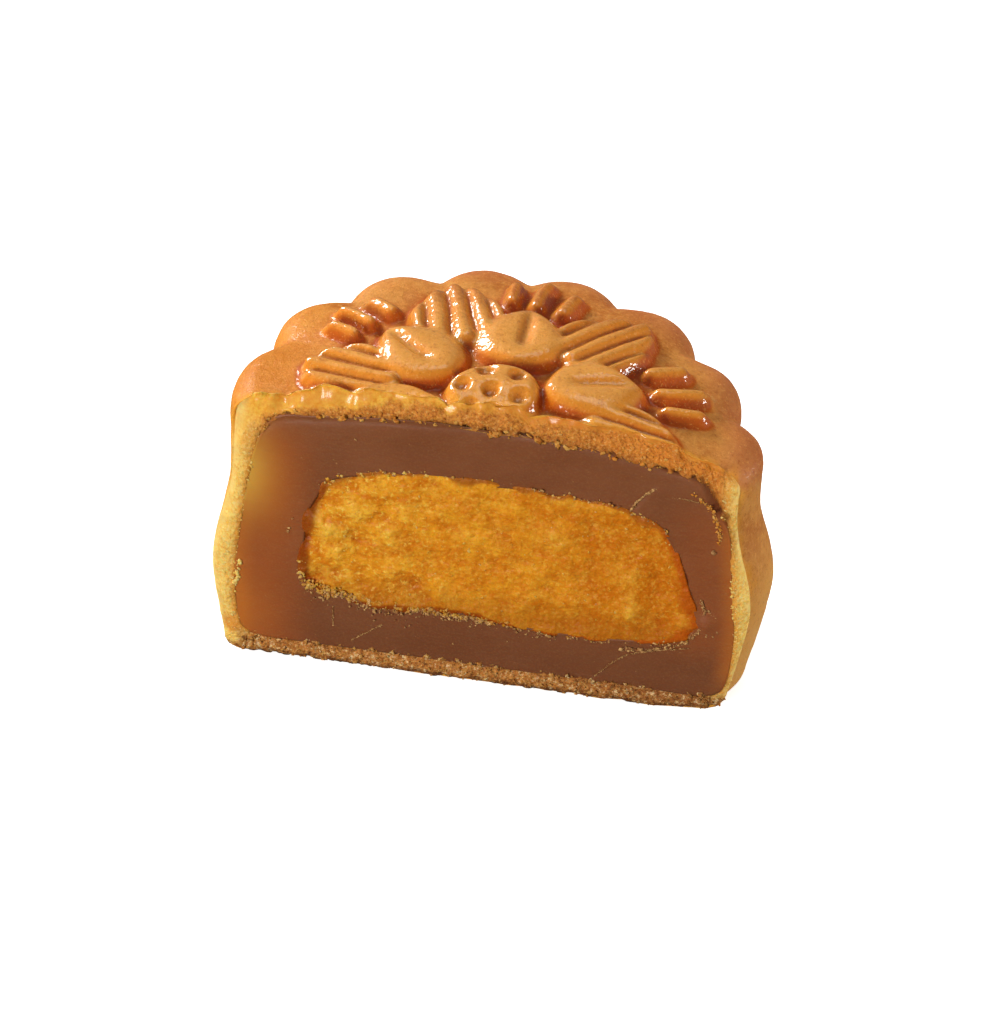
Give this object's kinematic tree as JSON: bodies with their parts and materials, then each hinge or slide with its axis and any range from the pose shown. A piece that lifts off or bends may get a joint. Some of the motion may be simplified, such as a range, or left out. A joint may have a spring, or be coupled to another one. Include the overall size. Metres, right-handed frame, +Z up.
{
  "type": "mooncake half",
  "caption": "Half of a small baked mooncake: scalloped golden crust with a moulded lotus rosette, brown lotus paste, and a salted egg yolk shown by the cut.",
  "frame": {"origin": "middle of the footprint's box, on the surface that the cake rests on", "axes": "+Z up, +X along the cut from its left end to its right end, the cut face looks along -Y"},
  "size_m": [0.052, 0.028, 0.0332],
  "materials": {
    "baked_crust": "baked pastry with an egg-wash glaze on top, drier on the side, crumbly where it is cut",
    "lotus_paste": "smooth dense paste with a soft satin sheen, slightly translucent",
    "egg_yolk": "grainy, oily cured yolk"
  },
  "bodies": {
    "root": {"crust": "baked_crust", "lotus_paste": "lotus_paste", "egg_yolk": "egg_yolk"}
  },
  "joints": []
}
